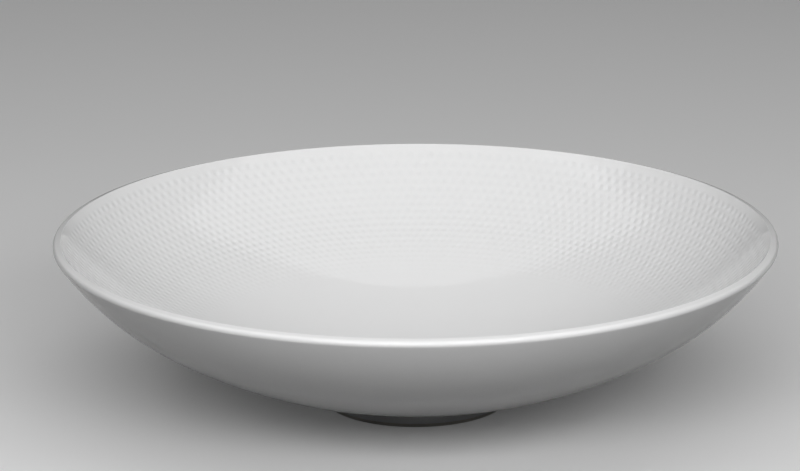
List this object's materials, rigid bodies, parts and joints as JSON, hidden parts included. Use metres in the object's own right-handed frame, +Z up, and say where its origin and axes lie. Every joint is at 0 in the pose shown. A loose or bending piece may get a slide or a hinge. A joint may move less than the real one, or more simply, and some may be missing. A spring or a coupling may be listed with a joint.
{
  "type": "salad bowl",
  "caption": "Wide, shallow glazed china bowl with a bevelled lip, rows of fine relief on the inside wall, a plain well and a small foot ring.",
  "frame": {"origin": "on the bowl's axis, in the plane of the foot ring's bearing edge, which is the table", "axes": "+Z up along the axis of revolution, +X and +Y are equal because the bowl is round"},
  "size_m": [0.28, 0.28, 0.0675],
  "materials": {
    "bare_clay": "matt, fine grained, unglazed",
    "white_glaze": "glossy white glaze"
  },
  "bodies": {
    "root": {"body": "bare_clay", "foot_ring": "bare_clay", "inside_glaze": "white_glaze", "outside_glaze": "white_glaze", "base_glaze": "white_glaze"}
  },
  "joints": []
}
